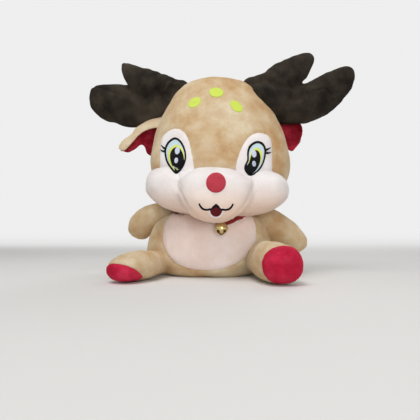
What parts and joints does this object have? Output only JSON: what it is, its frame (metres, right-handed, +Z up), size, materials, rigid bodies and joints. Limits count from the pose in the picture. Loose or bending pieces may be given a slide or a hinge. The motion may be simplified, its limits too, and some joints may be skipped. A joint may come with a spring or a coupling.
{
  "type": "plush deer",
  "caption": "Seated plush deer with stuffed antlers, floppy ears, embroidered eyes and a bell on a ribbon collar.",
  "frame": {"origin": "middle of the flat seat, on the surface the deer sits on", "axes": "+X to the viewer's right, -Y the way the deer faces, +Z up"},
  "size_m": [0.4509, 0.267, 0.3803],
  "materials": {
    "tan": "matte",
    "white": "matte",
    "blush": "matte",
    "red": "matte",
    "satin": "satin",
    "brown": "matte",
    "black": "satin",
    "sclera": "satin",
    "iris": "satin",
    "glint": "satin",
    "lime": "satin",
    "ribbon": "satin",
    "filling": "matte",
    "thread": "satin",
    "brass": "polished"
  },
  "bodies": {
    "torso": {"body_skin": "tan", "body_stuffing": "filling", "belly_panel": "blush", "collar_ribbon": "ribbon", "bell_tie": "thread"},
    "neck": {"neck_seam": "tan"},
    "head": {"head_skin": "tan", "head_stuffing": "filling", "muzzle": "white", "nose": "satin", "mouth_line": "black", "tongue": "red", "forehead_spot_left": "lime", "forehead_spot_middle": "lime", "forehead_spot_right": "lime", "cheek_left": "white", "eye_patch_left": "white", "eye_outline_left": "black", "eye_white_left": "sclera", "eye_iris_left": "iris", "eye_pupil_left": "black", "eye_glint_upper_left": "glint", "eye_glint_lower_left": "glint", "cheek_right": "white", "eye_patch_right": "white", "eye_outline_right": "black", "eye_white_right": "sclera", "eye_iris_right": "iris", "eye_pupil_right": "black", "eye_glint_upper_right": "glint", "eye_glint_lower_right": "glint"},
    "tail": {"tail": "tan"},
    "bell": {"bell_shank": "brass", "bell_upper_half": "brass", "bell_lower_half": "brass"},
    "clapper": {"bell_clapper": "brass"},
    "antler_left": {"antler_skin_left": "brown", "antler_stuffing_left": "filling"},
    "ear_left": {"ear_back_left": "tan", "ear_lining_left": "red"},
    "arm_left": {"arm_skin_left": "tan", "arm_stuffing_left": "filling"},
    "leg_left": {"leg_skin_left": "tan", "leg_stuffing_left": "filling", "hoof_left": "red"},
    "antler_right": {"antler_skin_right": "brown", "antler_stuffing_right": "filling"},
    "ear_right": {"ear_back_right": "tan", "ear_lining_right": "red"},
    "arm_right": {"arm_skin_right": "tan", "arm_stuffing_right": "filling"},
    "leg_right": {"leg_skin_right": "tan", "leg_stuffing_right": "filling", "hoof_right": "red"}
  },
  "joints": [
    {"name": "neck_turn", "type": "hinge", "parent": "torso", "child": "neck", "pos_m": [0.0105, -0.005, 0.108], "axis": [0, 0, 1], "range_deg": [-12, 12], "stiffness_Nm_per_rad": 0.6},
    {"name": "neck_nod", "type": "hinge", "parent": "neck", "child": "head", "pos_m": [0.0105, -0.005, 0.108], "axis": [1, 0, 0], "range_deg": [-10, 0], "stiffness_Nm_per_rad": 1.2, "springref_deg": 5.73},
    {"name": "tail_wag", "type": "hinge", "parent": "torso", "child": "tail", "pos_m": [0, 0.074, 0.046], "axis": [0, 0, 1], "range_deg": [-8, 8], "stiffness_Nm_per_rad": 0.01},
    {"name": "bell_swing", "type": "hinge", "parent": "torso", "child": "bell", "pos_m": [0.018, -0.0765, 0.0905], "axis": [0, 1, 0], "range_deg": [-15, 15]},
    {"name": "clapper_rattle", "type": "slide", "parent": "bell", "child": "clapper", "axis": [0, 0.2924, 0.9563], "range_m": [0, 0.006]},
    {"name": "antler_left_flex", "type": "hinge", "parent": "head", "child": "antler_left", "pos_m": [-0.064, 0, 0.308], "axis": [0, 1, 0], "range_deg": [-4, 8], "stiffness_Nm_per_rad": 0.9},
    {"name": "ear_left_flop", "type": "hinge", "parent": "head", "child": "ear_left", "pos_m": [-0.09, -0.004, 0.239], "axis": [0, 1, 0], "range_deg": [-12, 4], "stiffness_Nm_per_rad": 0.03},
    {"name": "arm_left_lift", "type": "hinge", "parent": "torso", "child": "arm_left", "pos_m": [-0.076, 0.014, 0.095], "axis": [0, 1, 0], "range_deg": [-5, 20], "stiffness_Nm_per_rad": 0.15},
    {"name": "leg_left_lift", "type": "hinge", "parent": "torso", "child": "leg_left", "pos_m": [-0.06, -0.034, 0.031], "axis": [-0.8012, 0.5985, 0], "range_deg": [0, 24], "stiffness_Nm_per_rad": 0.4},
    {"name": "antler_right_flex", "type": "hinge", "parent": "head", "child": "antler_right", "pos_m": [0.093, 0, 0.308], "axis": [0, -1, 0], "range_deg": [-4, 8], "stiffness_Nm_per_rad": 0.9},
    {"name": "ear_right_flop", "type": "hinge", "parent": "head", "child": "ear_right", "pos_m": [0.121, -0.004, 0.245], "axis": [0, -1, 0], "range_deg": [-12, 4], "stiffness_Nm_per_rad": 0.03},
    {"name": "arm_right_lift", "type": "hinge", "parent": "torso", "child": "arm_right", "pos_m": [0.078, 0.008, 0.092], "axis": [0, -1, 0], "range_deg": [-5, 20], "stiffness_Nm_per_rad": 0.15},
    {"name": "leg_right_lift", "type": "hinge", "parent": "torso", "child": "leg_right", "pos_m": [0.063, -0.036, 0.031], "axis": [-0.9552, -0.2961, 0], "range_deg": [0, 24], "stiffness_Nm_per_rad": 0.4}
  ]
}
